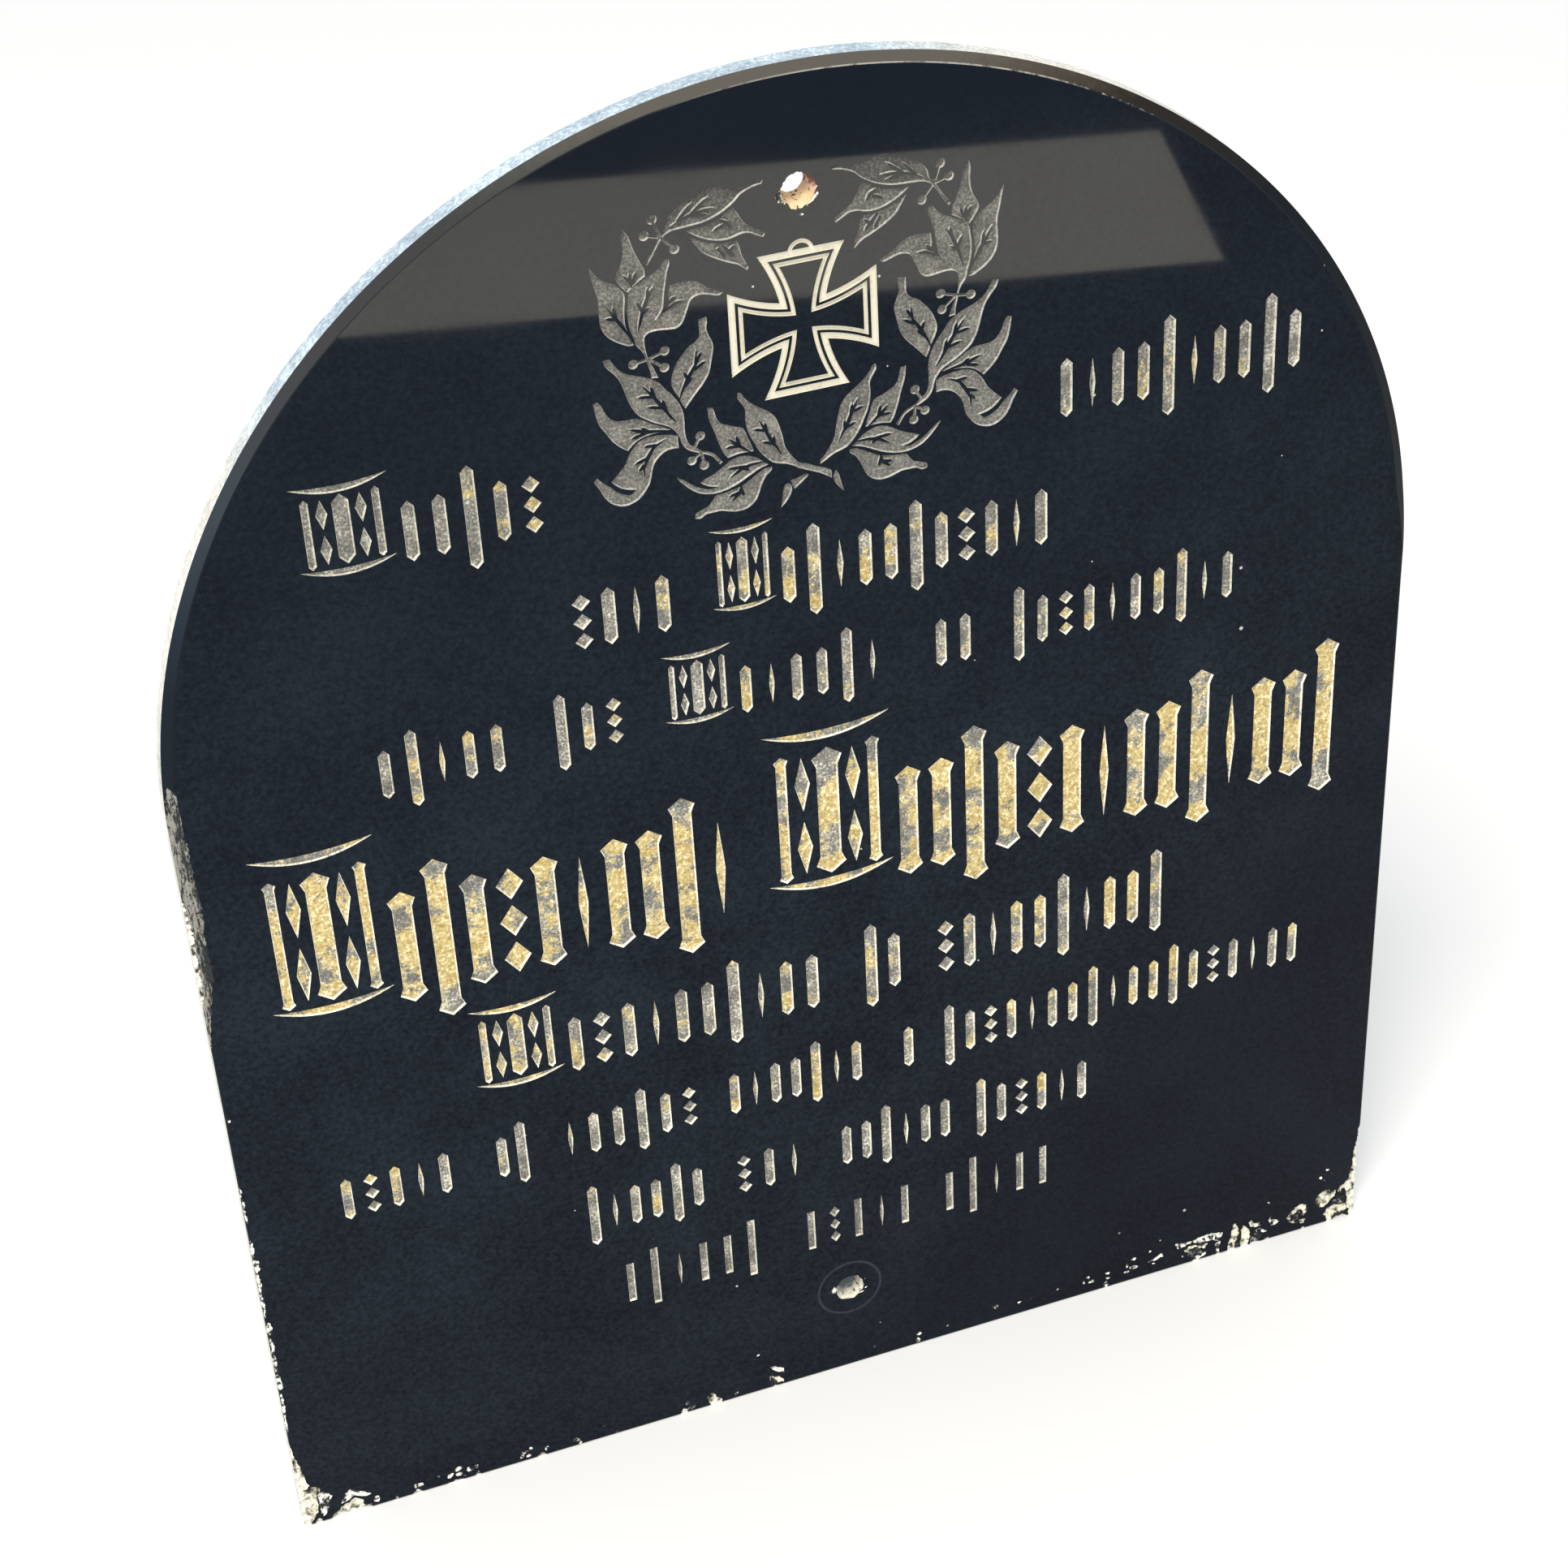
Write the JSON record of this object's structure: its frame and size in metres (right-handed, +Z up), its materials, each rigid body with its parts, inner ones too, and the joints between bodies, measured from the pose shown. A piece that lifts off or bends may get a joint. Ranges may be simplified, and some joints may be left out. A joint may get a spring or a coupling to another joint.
{
  "type": "grave plaque",
  "caption": "Arched black glass grave plaque, front engraved with a laurel wreath, a cross and rows of gilded strokes, fixed to a stone through a screw hole at its top and foot.",
  "frame": {"origin": "on the back face, on the middle line, midway between the two screw holes", "axes": "+Z up along the plaque's height, +Y out of the back face into the wall, so the engraved front looks along -Y"},
  "size_m": [0.4, 0.008, 0.4881],
  "materials": {
    "black_glass": "polished, opaque"
  },
  "bodies": {
    "root": {"plaque": "black_glass"}
  },
  "joints": []
}
